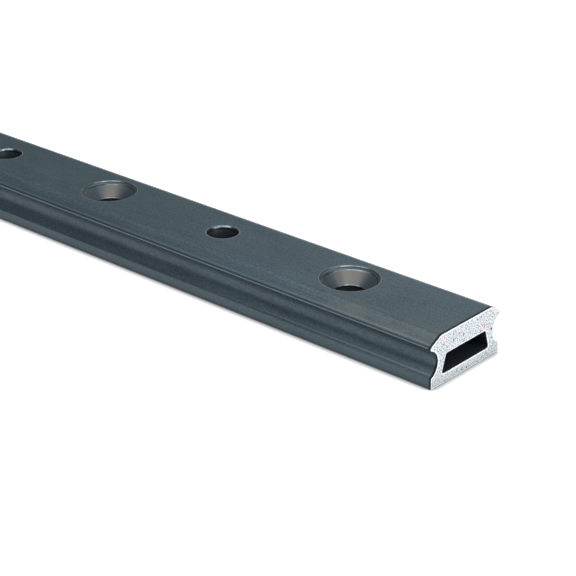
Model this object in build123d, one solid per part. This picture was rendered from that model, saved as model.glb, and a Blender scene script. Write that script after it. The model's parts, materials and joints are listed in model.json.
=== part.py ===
from build123d import *
import math
import os

# Sail track section: one length of hollow aluminium extrusion, drilled along its middle.
# A ball-bearing car runs on it, with its balls in the two side raceways.
# X runs along the track, Y across it and Z up. The origin is the middle of the base.
# All sizes are in millimetres.

# Stock
LENGTH = 1000.0
HEIGHT = 15.2
LIP_WIDTH = 32.0
FOOT_WIDTH = 30.7

# Top face: a flat, then a shoulder that falls to each lip, and the lip's upright side
FLAT_WIDTH = 23.0
SHOULDER_ANGLE = 27.0
SHOULDER_BLEND = 2.5
LIP_SIDE = 1.0
LIP_NOSE_ROUND = 0.85

# Raceways, cut as round grooves into both sides, just below the lips
RACE_RADIUS = 4.5
RACE_DEPTH = 3.4
RACE_EDGE_ROUND = 0.4
FOOT_ROUND = 0.3

# Hollow core, wider at its floor than at its roof
ROOF_WALL = 6.35
FLOOR_WALL = 2.95
WEB_WALL = 3.2
CORE_FLARE = 17.7
CORE_ROUND = 0.8

# Screw holes through roof and floor, for flat-head M8 screws with the head sunk below the top
SCREW_PITCH = 100.0
END_TO_SCREW = 41.4
SCREW_HOLE_RADIUS = 4.5
HEAD_CONE_RADIUS = 8.0
HEAD_CONE_ANGLE = 90.0
RECESS_RADIUS = 8.6
RECESS_DEPTH = 0.9
RECESS_EDGE = 0.2

# Stop-pin holes through the roof alone, midway between the screw holes
PIN_HOLE_RADIUS = 4.6
PIN_HOLE_CHAMFER = 0.4

# A hole is drilled only where its centre is at least this far from the plain end
END_MARGIN = 15.0

OVERCUT = 2.0
NEAR = 0.01

# Heights that follow from the sizes above
LIP_TOP = HEIGHT - (LIP_WIDTH - FLAT_WIDTH) / 2 * math.tan(math.radians(SHOULDER_ANGLE))
RACE_MOUTH = 2 * math.sqrt(RACE_DEPTH * (2 * RACE_RADIUS - RACE_DEPTH))
RACE_HEIGHT = LIP_TOP - LIP_SIDE - RACE_MOUTH / 2
CORE_ROOF = HEIGHT - ROOF_WALL
RECESS_FLOOR = HEIGHT - RECESS_DEPTH


def corners(sketch, half_width, low, high):
    """Corners of a section at a distance from its middle, between two heights."""
    return [v for v in sketch.vertices() if abs(abs(v.X) - half_width) < NEAR and low < v.Y < high]


def mirrored(points):
    """A right-hand outline, from the base up, closed by its own mirror image."""
    return Polygon(*points, *[(-y, z) for y, z in reversed(points)], align=None)


def outer_section():
    """Foot, raceways, lips, shoulders and flat top."""
    lip = LIP_WIDTH / 2
    foot = FOOT_WIDTH / 2
    flat = FLAT_WIDTH / 2
    section = mirrored([(foot, 0), (foot, RACE_HEIGHT), (lip, RACE_HEIGHT), (lip, LIP_TOP), (flat, HEIGHT)])
    race_y = lip - RACE_DEPTH + RACE_RADIUS
    for side in (-1, 1):
        section -= Pos(side * race_y, RACE_HEIGHT) * Circle(RACE_RADIUS)
    section = fillet(corners(section, lip, LIP_TOP - NEAR, LIP_TOP + NEAR), LIP_NOSE_ROUND)
    section = fillet(corners(section, lip, RACE_HEIGHT, LIP_TOP - LIP_SIDE + NEAR), RACE_EDGE_ROUND)
    section = fillet(corners(section, foot, NEAR, RACE_HEIGHT), RACE_EDGE_ROUND)
    section = fillet(corners(section, foot, -NEAR, NEAR), FOOT_ROUND)
    return fillet(corners(section, flat, HEIGHT - NEAR, HEIGHT + NEAR), SHOULDER_BLEND)


def core_section():
    """The hollow core, one web wall inside the deepest line of each raceway."""
    flare = math.tan(math.radians(CORE_FLARE))
    half_at_race = LIP_WIDTH / 2 - RACE_DEPTH - WEB_WALL
    half_floor = half_at_race + (RACE_HEIGHT - FLOOR_WALL) * flare
    half_roof = half_at_race - (CORE_ROOF - RACE_HEIGHT) * flare
    core = mirrored([(half_floor, FLOOR_WALL), (half_roof, CORE_ROOF)])
    return fillet(core.vertices(), CORE_ROUND)


def turned_tool(points):
    """A cutting tool turned about Z from (radius, height) points, closed on its axis."""
    return revolve(Plane.XZ * Polygon(*points, align=None), Axis.Z)


def screw_tool():
    """Clearance hole, head cone, and the recess that drops the head below the top face."""
    cone_depth = (HEAD_CONE_RADIUS - SCREW_HOLE_RADIUS) / math.tan(math.radians(HEAD_CONE_ANGLE / 2))
    return turned_tool([
        (0, -OVERCUT),
        (SCREW_HOLE_RADIUS, -OVERCUT),
        (SCREW_HOLE_RADIUS, RECESS_FLOOR - cone_depth),
        (HEAD_CONE_RADIUS, RECESS_FLOOR),
        (RECESS_RADIUS, RECESS_FLOOR),
        (RECESS_RADIUS, HEIGHT - RECESS_EDGE),
        (RECESS_RADIUS + RECESS_EDGE + OVERCUT, HEIGHT + OVERCUT),
        (0, HEIGHT + OVERCUT),
    ])


def pin_tool():
    """Stop-pin hole with its chamfered mouth, ending in the hollow core."""
    core_middle = (FLOOR_WALL + CORE_ROOF) / 2
    return turned_tool([
        (0, core_middle),
        (PIN_HOLE_RADIUS, core_middle),
        (PIN_HOLE_RADIUS, HEIGHT - PIN_HOLE_CHAMFER),
        (PIN_HOLE_RADIUS + PIN_HOLE_CHAMFER + OVERCUT, HEIGHT + OVERCUT),
        (0, HEIGHT + OVERCUT),
    ])


def hole_places(first):
    """X of each hole, counted back from the +X end at the screw pitch."""
    count = 1 + math.floor((LENGTH - END_MARGIN - first) / SCREW_PITCH)
    return [LENGTH / 2 - first - SCREW_PITCH * i for i in range(count)]


def track_rail():
    """The extruded stock with all its holes drilled."""
    section = outer_section() - core_section()
    rail = extrude(Plane.YZ * section, amount=LENGTH / 2, both=True)
    screw_places = hole_places(END_TO_SCREW)
    pin_places = hole_places(END_TO_SCREW + SCREW_PITCH / 2)
    tools = [Pos(x, 0, 0) * screw_tool() for x in screw_places]
    tools += [Pos(x, 0, 0) * pin_tool() for x in pin_places]
    return rail - tools


os.makedirs("parts", exist_ok=True)
export_step(track_rail(), "parts/track_rail.step")
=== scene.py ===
import json
import math

import bmesh
import bpy
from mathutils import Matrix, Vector


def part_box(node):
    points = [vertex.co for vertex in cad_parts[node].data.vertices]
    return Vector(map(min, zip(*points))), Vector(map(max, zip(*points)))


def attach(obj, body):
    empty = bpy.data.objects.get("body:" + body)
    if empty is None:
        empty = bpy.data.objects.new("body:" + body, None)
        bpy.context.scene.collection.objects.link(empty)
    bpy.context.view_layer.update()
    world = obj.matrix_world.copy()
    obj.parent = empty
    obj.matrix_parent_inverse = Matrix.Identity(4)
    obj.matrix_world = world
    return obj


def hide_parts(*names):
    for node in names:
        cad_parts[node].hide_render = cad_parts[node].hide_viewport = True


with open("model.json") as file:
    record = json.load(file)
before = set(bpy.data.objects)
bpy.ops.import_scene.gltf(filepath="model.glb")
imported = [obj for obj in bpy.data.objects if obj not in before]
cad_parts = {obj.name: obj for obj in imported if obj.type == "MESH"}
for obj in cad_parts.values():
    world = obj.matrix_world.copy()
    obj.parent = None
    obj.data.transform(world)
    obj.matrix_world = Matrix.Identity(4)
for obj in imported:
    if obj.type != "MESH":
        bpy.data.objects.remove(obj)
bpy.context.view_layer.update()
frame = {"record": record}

# Everything is in metres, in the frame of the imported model: X along the track, Y across it, Z up.
MM = 0.001

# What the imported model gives: the rail's box, and its holes from the record's mounts
RAIL_LOW, RAIL_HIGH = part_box("track_rail")
MOUNTS = frame["record"]["mounts"]
SCREW_PAIRS = [mount for mount in MOUNTS if mount["name"].startswith("screw_pair")]
STOP_PINS = [mount for mount in MOUNTS if mount["name"].startswith("stop_pin")]
HEIGHT = RAIL_HIGH[2]
LIP = RAIL_HIGH[1]
SCREW_PITCH = SCREW_PAIRS[0]["dims"]["spacing_x_mm"] * MM
SCREW_RADIUS = SCREW_PAIRS[0]["dims"]["hole_r_mm"] * MM
PIN_RADIUS = STOP_PINS[0]["dims"]["r_mm"] * MM
FIRST_SCREW = SCREW_PAIRS[0]["pos_m"][0] + SCREW_PITCH / 2
FIRST_PIN = STOP_PINS[0]["pos_m"][0]
LAST_PIN = STOP_PINS[-1]["pos_m"][0]

# The extrusion's section, as half widths and heights
FOOT = 15.35 * MM
FLAT = 11.5 * MM
SHOULDER_ANGLE = math.radians(27)
SHOULDER_BLEND = 2.5 * MM
LIP_SIDE = 1.0 * MM
LIP_NOSE_ROUND = 0.85 * MM
RACE_RADIUS = 4.5 * MM
RACE_DEPTH = 3.4 * MM
RACE_EDGE_ROUND = 0.4 * MM
FOOT_ROUND = 0.3 * MM
LIP_TOP = HEIGHT - (LIP - FLAT) * math.tan(SHOULDER_ANGLE)
RACE_HEIGHT = LIP_TOP - LIP_SIDE - math.sqrt(RACE_DEPTH * (2 * RACE_RADIUS - RACE_DEPTH))
RACE_CENTRE = Vector((LIP - RACE_DEPTH + RACE_RADIUS, RACE_HEIGHT))

# The hollow core
CORE_ROOF = HEIGHT - 6.35 * MM
CORE_FLOOR = 2.95 * MM
WEB_WALL = 3.2 * MM
CORE_FLARE = math.tan(math.radians(17.7))
CORE_ROUND = 0.8 * MM

# The holes: head recess and cone over each screw hole, chamfer on each stop-pin hole
RECESS_RADIUS = 8.6 * MM
RECESS_DEPTH = 0.9 * MM
RECESS_EDGE = 0.2 * MM
CONE_RADIUS = 8.0 * MM
PIN_CHAMFER = 0.4 * MM
CONE_END = HEIGHT - RECESS_DEPTH - (CONE_RADIUS - SCREW_RADIUS)
BURR_BREAK = 0.1 * MM

# The saw leaves a fine broken edge all round each end: its width on the cut, and its depth along the rail
BURR_WIDTH = 0.4 * MM
SAWN_EDGE = 0.08 * MM

# Mesh fineness: points round a hole, half widths of the drilled strips, and arc steps
HOLE_POINTS = 64
OUTER_LANE = 10.4 * MM
CORE_LANE = 8.0 * MM
ARC_STEP = math.radians(7)

# How near points are welded, how near an edge lies to the cut, the sharpest mitre, and the least sharp edge
WELD = MM / 10000
ON_CUT = MM / 1000
MITRE_LIMIT = 0.5
SHARP_EDGE = math.radians(28)

# The rail's finishes, in the order of its material slots
SKIN, SAWN, BURR, EDGE, CONE, BORE, CORE = range(7)

# Painted highlights and shade along each side, as fine lines and bands, each with its height and its reach
# up and down
SHOULDER_HIGHLIGHT = (13.3 * MM, 0.2 * MM)
NOSE_SHADE_LINE = (12.95 * MM, 0.22 * MM)
LIP_HIGHLIGHT = (12.53 * MM, 0.22 * MM)
UNDER_LIP_SHADOW = (12.0 * MM, 0.42 * MM)
RACE_SHADE_BAND = (7.2 * MM, 4.2 * MM)
RACE_FOOT_HIGHLIGHT = (3.8 * MM, 0.18 * MM)

# Heights between which the marks of shoulder and top set in, and half widths where the painted shade on the
# sloping shoulder sets in
SHOULDER_START = (12.6 * MM, 13.0 * MM)
TOP_START = (0.9 * HEIGHT, 0.95 * HEIGHT)
SLOPE_SHADE_START = (FLAT, FLAT + 1.5 * MM)

# Distances from the ends over which the painted warm reflection, the painted highlight low in the raceway
# and the dark cut line die out
WARM_REFLECTION_STRETCH = (8 * MM, 60 * MM)
FOOT_HIGHLIGHT_STRETCH = (20 * MM, 110 * MM)
CUT_STRETCH = (0.7 * MM, 1.0 * MM)

# The painted warm reflection lies on the shoulder at -Y: its middle and its reach to both sides
WARM_REFLECTION_STRIP = (-12.5 * MM, 5 * MM)

# A painted highlight ring lies just outside each hole's mouth
RING_GAP = 0.1 * MM
RING_REACH = 0.3 * MM

# Painted shade in dark bands just under the edges of the plain holes, each with its height and its reach
SCREW_HOLE_SHADE = (CONE_END - 0.2 * MM, 0.6 * MM)
PIN_HOLE_SHADE = (HEIGHT - 0.6 * MM, 0.8 * MM)

# Moves the noise on from hole to hole, so that no two cones are alike
HOLE_VARIETY = 40

# The floor and the room
FLOOR_SIZE = 60
FLOOR_DROP = 0.1 * MM
FLOOR_SHADE_REACH = 4 * MM
FLOOR_GLOW = 0.8
ROOM_LOW = 0.15
ROOM_HIGH = 0.3

# The photograph's camera, found from the rail's long edges, its holes and its sawn end
CAMERA_AZIMUTH = math.radians(41.588)
CAMERA_ELEVATION = math.radians(25.212)
CAMERA_FROM_END = Vector((246.48, -351.01, 225.67)) * MM
CAMERA_LENS = 109.52


def arc(centre, radius, start, end):
    """Points round a stretch of a circle, both ends included."""
    steps = max(2, math.ceil(abs(end - start) / ARC_STEP))
    angles = [start + (end - start) * i / steps for i in range(steps + 1)]
    return [centre + radius * Vector((math.cos(a), math.sin(a))) for a in angles]


def rounded(before, corner, after, radius):
    """Points that round the corner between two straight runs."""
    back = (before - corner).normalized()
    on = (after - corner).normalized()
    half = back.angle(on) / 2
    centre = corner + (back + on).normalized() * (radius / math.sin(half))
    start = corner + back * (radius / math.tan(half)) - centre
    turn = start.angle_signed(corner + on * (radius / math.tan(half)) - centre)
    first = math.atan2(start.y, start.x)
    return arc(centre, radius, first, first - turn)


def race_edge_centre(half_width, side):
    """Centre of the round between an upright side and the raceway above (1) or below (-1) its middle."""
    across = half_width - RACE_EDGE_ROUND
    rise = math.sqrt((RACE_RADIUS + RACE_EDGE_ROUND) ** 2 - (RACE_CENTRE.x - across) ** 2)
    return Vector((across, RACE_HEIGHT + side * rise))


def outer_half():
    """The right-hand outline, from the base lane round foot, raceway, lip and shoulder to the top lane."""
    foot_edge = race_edge_centre(FOOT, -1)
    lip_edge = race_edge_centre(LIP, 1)
    to_foot = RACE_CENTRE - foot_edge
    to_lip = RACE_CENTRE - lip_edge
    foot_turn = math.atan2(to_foot.y, to_foot.x)
    lip_turn = math.atan2(to_lip.y, to_lip.x)
    nose = Vector((LIP, LIP_TOP))
    crease = Vector((FLAT, HEIGHT))
    points = [Vector((OUTER_LANE, 0))]
    above_foot = foot_edge + Vector((RACE_EDGE_ROUND, 0))
    points += rounded(Vector((0, 0)), Vector((FOOT, 0)), above_foot, FOOT_ROUND)
    points += arc(foot_edge, RACE_EDGE_ROUND, 0, foot_turn)
    points += arc(RACE_CENTRE, RACE_RADIUS, foot_turn + math.pi, lip_turn + math.pi)[1:-1]
    points += arc(lip_edge, RACE_EDGE_ROUND, lip_turn, 0)
    below_nose = lip_edge + Vector((RACE_EDGE_ROUND, 0))
    points += rounded(below_nose, nose, crease, LIP_NOSE_ROUND)
    points += rounded(nose, crease, Vector((0, HEIGHT)), SHOULDER_BLEND)
    return points + [Vector((OUTER_LANE, HEIGHT))]


def core_half():
    """The right-hand outline of the hollow core, from its floor lane to its roof lane."""
    at_race = LIP - RACE_DEPTH - WEB_WALL
    floor_corner = Vector((at_race + (RACE_HEIGHT - CORE_FLOOR) * CORE_FLARE, CORE_FLOOR))
    roof_corner = Vector((at_race - (CORE_ROOF - RACE_HEIGHT) * CORE_FLARE, CORE_ROOF))
    points = [Vector((CORE_LANE, CORE_FLOOR))]
    points += rounded(Vector((0, CORE_FLOOR)), floor_corner, roof_corner, CORE_ROUND)
    points += rounded(floor_corner, roof_corner, Vector((0, CORE_ROOF)), CORE_ROUND)
    return points + [Vector((CORE_LANE, CORE_ROOF))]


def lane_steps(lane):
    """Distances from a hole's middle at which rays through its points meet the side of its square."""
    quarter = HOLE_POINTS // 8
    return [lane * math.tan(math.radians(45) * i / quarter) for i in range(-quarter, quarter + 1)]


def mirrored(points):
    """The left-hand half of an outline, running on from the right-hand half."""
    return [Vector((-p.x, p.y)) for p in reversed(points)]


def closed_outline(half, lane):
    """Both halves of an outline and the points across the two drilled strips between them."""
    steps = lane_steps(lane)[1:-1]
    low, high = half[0].y, half[-1].y
    top = [Vector((y, high)) for y in reversed(steps)]
    bottom = [Vector((y, low)) for y in steps]
    return half + top + mirrored(half) + bottom


def shifted(outline, distance):
    """A closed outline moved to the left of its own direction by a distance."""
    moved = []
    for i, point in enumerate(outline):
        into = (point - outline[i - 1]).normalized()
        out = (outline[(i + 1) % len(outline)] - point).normalized()
        left = Vector((-into.y - out.y, into.x + out.x)).normalized()
        square = Vector((-into.y, into.x))
        moved.append(point + left * (distance / max(left.dot(square), MITRE_LIMIT)))
    return moved


class RailMesh:
    """The rail's surface, built in quads: swept sides, drilled strips, bores and sawn ends."""

    def __init__(self):
        self.mesh = bmesh.new()

    def quad(self, corners, finish):
        """One face of a finish."""
        face = self.mesh.faces.new([self.mesh.verts.new(c) for c in corners])
        face.material_index = finish
        face.smooth = True

    def sheet(self, rows, finish, closed=False):
        """Quads between rows of points; a closed sheet also joins each row's ends."""
        for row, following in zip(rows, rows[1:]):
            last = len(row) if closed else len(row) - 1
            for i in range(last):
                j = (i + 1) % len(row)
                self.quad((row[i], row[j], following[j], following[i]), finish)

    def sweep(self, outline, stations, finish):
        """An outline carried along the rail, with rows at the stations."""
        self.sheet([[(x, p.x, p.y) for p in outline] for x in stations], finish)

    def drilled_strip(self, height, lane, stations, holes, finish):
        """A flat strip along the middle of a face, with a square of quads round each hole's rim."""
        steps = lane_steps(lane)
        for start, end in zip(stations, stations[1:]):
            middle = (start + end) / 2
            if all(abs(middle - x) > lane for x, _ in holes):
                self.sheet([[(x, y, height) for y in steps] for x in (start, end)], finish)
        for x, radius in holes:
            rim = ring(x, radius, height)
            self.sheet([square(x, lane, height), rim], finish, closed=True)

    def bore(self, x, profile):
        """The wall of a hole, down a profile of (radius, height, finish of the wall below)."""
        for (radius, height, finish), (next_radius, next_height, _) in zip(profile, profile[1:]):
            self.sheet([ring(x, radius, height), ring(x, next_radius, next_height)], finish, closed=True)

    def end(self, x, inward, outlines):
        """A sawn end: a fine broken edge on each outline, and the flat face between them."""
        for outline, side in outlines:
            inner = shifted(outline, side * BURR_WIDTH)
            skin_row = [(x + inward * SAWN_EDGE, p.x, p.y) for p in outline]
            cut_row = [(x, p.x, p.y) for p in inner]
            self.sheet([skin_row, cut_row], BURR, closed=True)
        bmesh.ops.remove_doubles(self.mesh, verts=self.mesh.verts, dist=WELD)
        open_edges = [edge for edge in self.mesh.edges if edge.is_boundary]
        rim = [edge for edge in open_edges if all(abs(v.co.x - x) < ON_CUT for v in edge.verts)]
        filled = bmesh.ops.triangle_fill(self.mesh, use_beauty=True, edges=rim)
        for face in filled["geom"]:
            if isinstance(face, bmesh.types.BMFace):
                face.material_index = SAWN

    def made(self, name):
        """The finished piece, with its normals outward."""
        bmesh.ops.recalc_face_normals(self.mesh, faces=self.mesh.faces)
        data = bpy.data.meshes.new(name)
        self.mesh.to_mesh(data)
        self.mesh.free()
        data.set_sharp_from_angle(angle=SHARP_EDGE)
        piece = bpy.data.objects.new(name, data)
        bpy.context.collection.objects.link(piece)
        return piece


def ring(x, radius, height):
    """Points round a hole."""
    turns = [2 * math.pi * i / HOLE_POINTS for i in range(HOLE_POINTS)]
    return [(x + radius * math.cos(a), radius * math.sin(a), height) for a in turns]


def square(x, lane, height):
    """The same points pushed out to the sides of the hole's square."""
    points = []
    for i in range(HOLE_POINTS):
        turn = 2 * math.pi * i / HOLE_POINTS
        reach = lane / max(abs(math.cos(turn)), abs(math.sin(turn)))
        points.append((x + reach * math.cos(turn), reach * math.sin(turn), height))
    return points


def stations(holes, lane):
    """Places along the rail where its quads divide: its ends, and each division of each hole's square."""
    places = [RAIL_LOW[0] + SAWN_EDGE, RAIL_HIGH[0] - SAWN_EDGE]
    places += [x + step for x in holes for step in lane_steps(lane)]
    return sorted(places)


def screw_profile():
    """Broken rim, recess wall, narrow ledge, head cone and clearance hole, down to the core's roof."""
    ledge = HEIGHT - RECESS_DEPTH
    return [
        (RECESS_RADIUS + RECESS_EDGE, HEIGHT, EDGE),
        (RECESS_RADIUS, HEIGHT - RECESS_EDGE, CONE),
        (RECESS_RADIUS, ledge + BURR_BREAK, CONE),
        (RECESS_RADIUS - BURR_BREAK, ledge, CONE),
        (CONE_RADIUS + 1.5 * BURR_BREAK, ledge, EDGE),
        (CONE_RADIUS - 1.5 * BURR_BREAK, ledge - 1.8 * BURR_BREAK, CONE),
        (SCREW_RADIUS + 2 * BURR_BREAK, CONE_END + 2 * BURR_BREAK, EDGE),
        (SCREW_RADIUS + 0.4 * BURR_BREAK, CONE_END + 0.6 * BURR_BREAK, EDGE),
        (SCREW_RADIUS, CONE_END - 0.6 * BURR_BREAK, BORE),
        (SCREW_RADIUS, CORE_ROOF, BORE),
    ]


def pin_profile():
    """Chamfered mouth and plain wall of a stop-pin hole, down to the core's roof."""
    return [
        (PIN_RADIUS + PIN_CHAMFER, HEIGHT, EDGE),
        (PIN_RADIUS + BURR_BREAK / 2, HEIGHT - PIN_CHAMFER + BURR_BREAK / 2, EDGE),
        (PIN_RADIUS, HEIGHT - PIN_CHAMFER - BURR_BREAK / 2, BORE),
        (PIN_RADIUS, CORE_ROOF, BORE),
    ]


def track_rail():
    """The whole rail as one closed surface."""
    screws = [m["pos_m"][0] + side * SCREW_PITCH / 2 for m in SCREW_PAIRS for side in (-1, 1)]
    pins = [m["pos_m"][0] for m in STOP_PINS]
    rail = RailMesh()
    outer, core = outer_half(), core_half()
    outer_places = stations(screws + pins, OUTER_LANE)
    core_places = stations(screws + pins, CORE_LANE)
    for half in (outer, mirrored(outer)):
        rail.sweep(half, outer_places, SKIN)
    for half in (core, mirrored(core)):
        rail.sweep(half, core_places, CORE)
    screw_wall, pin_wall = screw_profile(), pin_profile()
    mouths = [(x, screw_wall[0][0]) for x in screws] + [(x, pin_wall[0][0]) for x in pins]
    roof_holes = [(x, SCREW_RADIUS) for x in screws] + [(x, PIN_RADIUS) for x in pins]
    floor_holes = [(x, SCREW_RADIUS) for x in screws]
    rail.drilled_strip(HEIGHT, OUTER_LANE, outer_places, mouths, SKIN)
    rail.drilled_strip(CORE_ROOF, CORE_LANE, core_places, roof_holes, CORE)
    rail.drilled_strip(CORE_FLOOR, CORE_LANE, core_places, floor_holes, CORE)
    rail.drilled_strip(0, OUTER_LANE, outer_places, floor_holes, SKIN)
    for x in screws:
        rail.bore(x, screw_wall)
        rail.bore(x, [(SCREW_RADIUS, CORE_FLOOR, BORE), (SCREW_RADIUS, 0, BORE)])
    for x in pins:
        rail.bore(x, pin_wall)
    outlines = [(closed_outline(outer, OUTER_LANE), 1), (closed_outline(core, CORE_LANE), -1)]
    rail.end(RAIL_LOW[0], 1, outlines)
    rail.end(RAIL_HIGH[0], -1, outlines)
    return rail.made("rail")


class Signal:
    """A shader value that takes part in Python sums."""

    def __init__(self, nodes, socket):
        self.nodes = nodes
        self.socket = socket

    def worked(self, operation, first, second=0.0):
        """The result of a Math node."""
        return self.nodes.add("ShaderNodeMath", {"operation": operation}, {0: first, 1: second})

    def __add__(self, other):
        return self.worked("ADD", self, other)

    def __radd__(self, other):
        return self.worked("ADD", other, self)

    def __sub__(self, other):
        return self.worked("SUBTRACT", self, other)

    def __rsub__(self, other):
        return self.worked("SUBTRACT", other, self)

    def __mul__(self, other):
        return self.worked("MULTIPLY", self, other)

    def __rmul__(self, other):
        return self.worked("MULTIPLY", other, self)

    def __truediv__(self, other):
        return self.worked("DIVIDE", self, other)

    def __pow__(self, other):
        return self.worked("POWER", self, other)

    def __abs__(self):
        return self.worked("ABSOLUTE", self)

    def from_nearest(self, start, step):
        """Offset from the nearest of evenly spaced places."""
        ends = {0: self - start, 1: step / 2, 2: -step / 2}
        return self.nodes.add("ShaderNodeMath", {"operation": "WRAP"}, ends)

    def rise(self, low, high):
        """0 up to low, 1 from high on, and a smooth rise between."""
        ends = {0: self, 1: low, 2: high}
        return self.nodes.add("ShaderNodeMapRange", {"interpolation_type": "SMOOTHSTEP"}, ends)

    def near(self, place, reach):
        """1 close to a place, and 0 beyond its reach."""
        return 1 - abs(self - place).rise(reach / 3, reach)


class Nodes:
    """The nodes of one material or of the surroundings."""

    def __init__(self, tree):
        self.tree = tree
        tree.nodes.clear()

    def add(self, kind, settings=None, sockets=None, output=0):
        """Adds a node, its settings first and then its sockets' values or links, and gives one output."""
        made = self.tree.nodes.new(kind)
        for name, value in (settings or {}).items():
            setattr(made, name, value)
        for key, value in (sockets or {}).items():
            if isinstance(value, Signal):
                self.tree.links.new(value.socket, made.inputs[key])
            else:
                made.inputs[key].default_value = value
        return Signal(self, made.outputs[output]) if made.outputs else None

    def white_to_eye_and_gloss(self):
        """1 where the camera, a reflection or a clear part looks, and 0 for light that falls on things."""
        kinds = ("Camera", "Glossy", "Transmission")
        eye, gloss, clear = [self.add("ShaderNodeLightPath", output=f"Is {kind} Ray") for kind in kinds]
        return eye + gloss + clear


class Finish(Nodes):
    """One procedural material."""

    def __init__(self, name):
        self.material = bpy.data.materials.new(name)
        self.material.use_nodes = True
        super().__init__(self.material.node_tree)
        self.place = self.add("ShaderNodeTexCoord", output="Object")

    def across(self, axis):
        """One object coordinate."""
        return self.add("ShaderNodeSeparateXYZ", {}, {0: self.place}, axis)

    def round_holes(self, first):
        """Distance from the axis of a row's nearest hole, and a vector that turns round that hole."""
        x, y = self.across(0), self.across(1)
        along = x.from_nearest(first, SCREW_PITCH)
        reach = (along ** 2 + y ** 2) ** 0.5
        parts = {0: along / reach, 1: y / reach, 2: (x - along) * HOLE_VARIETY}
        way = self.add("ShaderNodeCombineXYZ", {}, parts)
        return reach, way

    def stretched(self, x, y, z):
        """Object coordinates multiplied along each axis, which gives noise so many waves to the metre."""
        return self.add("ShaderNodeVectorMath", {"operation": "MULTIPLY"}, {0: self.place, 1: (x, y, z)})

    def noise(self, where, detail=2.0, roughness=0.5):
        """Soft noise of about one wave for each unit of a vector."""
        sockets = {"Vector": where, "Scale": 1.0, "Detail": detail, "Roughness": roughness}
        return self.add("ShaderNodeTexNoise", {}, sockets, "Fac")

    def mixed(self, amount, first, second):
        """A colour between two others."""
        return self.add("ShaderNodeMix", {"data_type": "RGBA"}, {0: amount, 6: first, 7: second}, 2)

    def relief(self, height, distance):
        """A normal bumped by a height signal, in metres."""
        return self.add("ShaderNodeBump", {}, {"Height": height, "Distance": distance}, "Normal")

    def surface(self, **sockets):
        """Closes the material with one Principled shader."""
        named = {}
        for key, value in sockets.items():
            named[key.replace("_", " ").title().replace("Ior", "IOR")] = value
        shader = self.add("ShaderNodeBsdfPrincipled", {}, named)
        self.add("ShaderNodeOutputMaterial", {}, {"Surface": shader})
        return self.material


def rgb(red, green, blue):
    """A display colour, 0 to 255, as a linear shader colour."""
    def linear(level):
        share = level / 255
        return share / 12.92 if share <= 0.04045 else ((share + 0.055) / 1.055) ** 2.4
    return (linear(red), linear(green), linear(blue), 1.0)


def rim_highlight_rings(finish, x, z):
    """How strongly a painted highlight lightens the skin round each hole's mouth, with no ring beyond the
    last pin.
    """
    pins_end = LAST_PIN - SCREW_PITCH / 2
    has_pins = x.rise(pins_end - MM, pins_end)
    round_screws, _ = finish.round_holes(FIRST_SCREW)
    round_pins, _ = finish.round_holes(FIRST_PIN)
    screw_rings = round_screws.near(RECESS_RADIUS + RECESS_EDGE + RING_GAP, RING_REACH)
    pin_rings = round_pins.near(PIN_RADIUS + PIN_CHAMFER + RING_GAP, RING_REACH) * has_pins
    return (screw_rings * 0.45 + pin_rings * 0.75) * z.rise(*TOP_START)


def anodised_skin():
    """Satin dark anodising: mottle and lengthwise grain, with painted shade, painted highlights, a painted
    warm reflection and painted highlight rings.
    """
    finish = Finish("dark_anodised_skin")
    mottle = finish.noise(finish.stretched(1400, 1700, 1700), detail=3, roughness=0.65)
    grain = finish.noise(finish.stretched(60, 2200, 2200), detail=3)
    cloud = finish.noise(finish.stretched(40, 90, 90))
    shade = 0.5 + (mottle - 0.5) * 2.2 + (grain - 0.5) * 0.8 + (cloud - 0.5) * 0.5
    x, y, z = finish.across(0), finish.across(1), finish.across(2)
    from_end = RAIL_HIGH[0] - abs(x)
    colour = finish.mixed(shade, rgb(58, 76, 85), rgb(94, 114, 123))
    # Painted shade: every face beyond the flat top is darkened
    colour = finish.mixed(abs(y).rise(FLAT, LIP) * 0.45, colour, rgb(58, 68, 76))
    # Painted shade in a band down the raceway under the lip
    colour = finish.mixed(z.near(*RACE_SHADE_BAND) * 0.22, colour, rgb(24, 36, 44))
    above_lip = z.rise(*SHOULDER_START)
    # Painted shade on the sloping shoulder
    colour = finish.mixed(abs(y).rise(*SLOPE_SHADE_START) * above_lip * 0.14, colour, rgb(36, 46, 52))
    # Painted warm reflection on the -Y shoulder near each end
    warm_reflection = cloud.rise(0.35, 0.6) * y.near(*WARM_REFLECTION_STRIP) * above_lip * (1 - from_end.rise(*WARM_REFLECTION_STRETCH))
    colour = finish.mixed(warm_reflection * 0.4, colour, rgb(118, 112, 92))
    # Painted highlight along the shoulder, painted shade just above the lip's nose, painted highlight along
    # the nose
    colour = finish.mixed(z.near(*SHOULDER_HIGHLIGHT) * 0.2, colour, rgb(132, 146, 152))
    colour = finish.mixed(z.near(*NOSE_SHADE_LINE) * 0.6, colour, rgb(36, 52, 61))
    colour = finish.mixed(z.near(*LIP_HIGHLIGHT) * 0.5, colour, rgb(118, 144, 158))
    # Painted shadow: a dark line just under the lip, also a little more metallic
    under_lip_shadow = z.near(*UNDER_LIP_SHADOW)
    colour = finish.mixed(under_lip_shadow, colour, rgb(14, 20, 25))
    # Painted highlight low in the raceway, fading away from the ends
    foot_highlight = z.near(*RACE_FOOT_HIGHLIGHT) * (1 - from_end.rise(*FOOT_HIGHLIGHT_STRETCH))
    colour = finish.mixed(foot_highlight * 0.4, colour, rgb(132, 146, 152))
    # Painted highlight rings round the holes' mouths
    colour = finish.mixed(rim_highlight_rings(finish, x, z), colour, rgb(140, 154, 160))
    by_cut = 1 - from_end.rise(*CUT_STRETCH)
    return finish.surface(
        base_color=finish.mixed(by_cut, colour, rgb(14, 20, 24)),
        metallic=0.5 + under_lip_shadow * 0.3,
        roughness=0.34 + grain * 0.14,
        normal=finish.relief(grain + mottle * 0.5, 0.01 * MM),
    )


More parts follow.
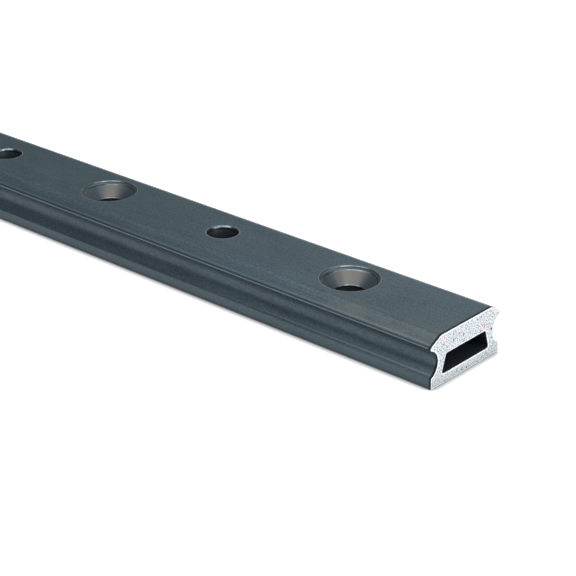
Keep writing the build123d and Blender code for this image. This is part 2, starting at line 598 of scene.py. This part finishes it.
def sawn_metal():
    """Bare aluminium as the saw left it: pale, speckled, with a few small pits."""
    finish = Finish("bare_sawn_metal")
    speckle = finish.noise(finish.stretched(2300, 2300, 2300), roughness=0.7)
    patch = finish.noise(finish.stretched(150, 150, 150))
    pits = finish.noise(finish.stretched(900, 900, 900), detail=1).rise(0.665, 0.7)
    pale = finish.mixed(patch.rise(0.45, 0.65), rgb(232, 240, 245), rgb(244, 236, 243))
    low = finish.across(2).rise(0.0, 0.6 * HEIGHT)
    pale = finish.mixed(low, rgb(214, 222, 226), pale)
    speckled = finish.mixed(speckle.rise(0.36, 0.54), rgb(112, 124, 132), pale)
    return finish.surface(
        base_color=finish.mixed(pits, speckled, rgb(80, 84, 90)),
        metallic=0.2,
        roughness=0.5 + speckle * 0.2,
        normal=finish.relief(speckle - pits, 0.02 * MM),
    )


def saw_burr():
    """The thin bright edge that the saw leaves all round its cut."""
    finish = Finish("bright_saw_burr")
    ragged = finish.noise(finish.stretched(1200, 1200, 1200))
    return finish.surface(
        base_color=finish.mixed(ragged.rise(0.35, 0.55), rgb(214, 220, 224), rgb(250, 251, 252)),
        metallic=0.2,
        roughness=0.4,
    )


def worn_edge():
    """The fine edges that the cutter left smooth."""
    finish = Finish("smooth_worn_edge")
    ragged = finish.noise(finish.stretched(900, 900, 900))
    return finish.surface(
        base_color=finish.mixed(ragged.rise(0.35, 0.65), rgb(92, 107, 115), rgb(124, 135, 140)),
        metallic=1.0,
        roughness=0.2,
    )


def turned_cone():
    """Machined recess and head cone, dyed like the skin, with fine cutter rings and chatter streaks, and a
    painted highlight on the recess wall.
    """
    finish = Finish("machined_head_cone")
    _, way = finish.round_holes(FIRST_SCREW)
    rings = finish.noise(finish.stretched(40, 40, 6000))
    scaled = finish.add("ShaderNodeVectorMath", {"operation": "SCALE"}, {0: way, "Scale": 5.0})
    chatter = finish.noise(scaled)
    colour = finish.mixed(chatter.rise(0.35, 0.65), rgb(30, 59, 76), rgb(58, 70, 76))
    colour = finish.mixed(rings.rise(0.4, 0.7) * 0.5, colour, rgb(38, 58, 70))
    ledge = HEIGHT - RECESS_DEPTH
    # Painted highlight: the recess wall above the ledge is lightened
    recess_wall_highlight = finish.across(2).rise(ledge + BURR_BREAK / 2, ledge + 1.5 * BURR_BREAK)
    return finish.surface(
        base_color=finish.mixed(recess_wall_highlight * 0.5, colour, rgb(126, 142, 148)),
        metallic=0.2,
        specular_ior_level=1.0,
        specular_tint=rgb(255, 236, 208),
        ior=1.62,
        roughness=0.32 + chatter * 0.12,
        normal=finish.relief(rings + chatter, 0.01 * MM),
    )


def bore_wall():
    """Dark walls of the plain holes, with painted shade just under their edges."""
    finish = Finish("dark_bore_wall")
    rings = finish.noise(finish.stretched(60, 60, 2600))
    z = finish.across(2)
    # Painted shade just under the edges of the screw and pin holes
    under_edge_shade = z.near(*SCREW_HOLE_SHADE) + z.near(*PIN_HOLE_SHADE)
    colour = finish.mixed(rings, rgb(34, 42, 48), rgb(58, 68, 74))
    return finish.surface(
        base_color=finish.mixed(under_edge_shade * 0.8, colour, rgb(10, 14, 18)),
        metallic=0.5,
        roughness=0.35 + rings * 0.15,
    )


def core_wall():
    """The inside of the hollow core, dark anodising painted darker still as shade."""
    finish = Finish("dark_core_wall")
    grain = finish.noise(finish.stretched(20, 1600, 1600))
    return finish.surface(
        base_color=finish.mixed(grain, rgb(24, 31, 38), rgb(38, 46, 54)),
        metallic=0.3,
        roughness=0.5 + grain * 0.15,
    )


def floor():
    """A plain pale floor, white to the eye, that keeps the rail's soft shadow and darkens near the rail
    with a painted shadow from ambient occlusion.
    """
    finish = Finish("pale_floor")
    shade = finish.add("ShaderNodeAmbientOcclusion", {}, {"Distance": FLOOR_SHADE_REACH}, "AO")
    # Painted shadow: ambient occlusion darkens the floor's colour and its glow near the rail
    open_air = shade.rise(0.35, 0.95)
    grey = finish.mixed(open_air, rgb(120, 122, 126), rgb(180, 180, 180))
    white = finish.mixed(open_air, rgb(90, 92, 96), rgb(255, 255, 255))
    strength = finish.white_to_eye_and_gloss() * FLOOR_GLOW
    matt = finish.add("ShaderNodeBsdfDiffuse", {}, {"Color": grey})
    glow = finish.add("ShaderNodeEmission", {}, {"Color": white, "Strength": strength})
    both = finish.add("ShaderNodeAddShader", {}, {0: matt, 1: glow})
    finish.add("ShaderNodeOutputMaterial", {}, {"Surface": both})
    bpy.ops.mesh.primitive_plane_add(size=FLOOR_SIZE, location=(0, 0, -FLOOR_DROP))
    plane = bpy.context.object
    plane.name = "floor"
    plane.data.materials.append(finish.material)


def softbox(name, place, aim, size, power, gloss=True, matt=True):
    """A square area lamp, in metres and watts. It may be kept out of gloss, or off matt surfaces."""
    lamp = bpy.data.lights.new(name, "AREA")
    lamp.size = size
    lamp.energy = power
    holder = bpy.data.objects.new(name, lamp)
    holder.location = place
    holder.rotation_euler = (Vector(aim) - Vector(place)).to_track_quat("-Z", "Y").to_euler()
    holder.visible_glossy = gloss
    holder.visible_diffuse = matt
    bpy.context.collection.objects.link(holder)


def surroundings():
    """A grey room, lighter overhead."""
    world = bpy.data.worlds.new("studio")
    bpy.context.scene.world = world
    world.use_nodes = True
    room = Nodes(world.node_tree)
    way = room.add("ShaderNodeTexCoord", output="Generated")
    up = room.add("ShaderNodeSeparateXYZ", {}, {0: way}, 2)
    strength = ROOM_LOW + (ROOM_HIGH - ROOM_LOW) * up.rise(0.1, 0.9)
    sky = room.add("ShaderNodeBackground", {}, {"Strength": strength})
    room.add("ShaderNodeOutputWorld", {}, {"Surface": sky})


def light():
    """A key lamp on the camera's side, lamps for the top and the holes to mirror, and fills elsewhere."""
    surroundings()
    softbox("key", place=(0.475, -0.16, 0.34), aim=(0.45, 0, 0), size=0.44, power=1.2)
    softbox("far_half", place=(-0.4, -0.1, 0.55), aim=(-0.35, 0, 0), size=0.5, power=1.1, gloss=False)
    softbox("rear", place=(0.02, 0.95, 0.5), aim=(0.45, 0, 0), size=0.7, power=0.5)
    softbox("overhead", place=(0.09, 0.04, 0.69), aim=(0.5, 0, 0), size=0.3, power=0.25)
    softbox("cone_side", place=(0.64, 0.08, 0.4), aim=(0.41, 0, 0), size=0.34, power=0.35, matt=False)
    softbox("end_fill", place=(1.3, 0.05, 0.4), aim=(0.5, 0, 0), size=0.6, power=6.4)
    softbox("far_end_fill", place=(-1.3, 0, 0.3), aim=(-0.5, 0, 0), size=0.6, power=4, gloss=False)
    softbox("rear_fill", place=(0, 1.1, 0.22), aim=(0, 0, 0), size=0.8, power=4, gloss=False)


def camera():
    """The photograph's view of the sawn end."""
    view = bpy.data.cameras.new("camera")
    view.lens = CAMERA_LENS
    view.sensor_width = 36
    view.clip_start = 0.01
    holder = bpy.data.objects.new("camera", view)
    holder.location = Vector((RAIL_HIGH[0], 0, 0)) + CAMERA_FROM_END
    holder.rotation_euler = (math.pi / 2 - CAMERA_ELEVATION, 0, CAMERA_AZIMUTH)
    bpy.context.collection.objects.link(holder)
    bpy.context.scene.camera = holder


bpy.context.scene.view_settings.view_transform = "Standard"
rail = track_rail()
for finish in (anodised_skin, sawn_metal, saw_burr, worn_edge, turned_cone, bore_wall, core_wall):
    rail.data.materials.append(finish())
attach(rail, "root")
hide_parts("track_rail")
floor()
light()
camera()
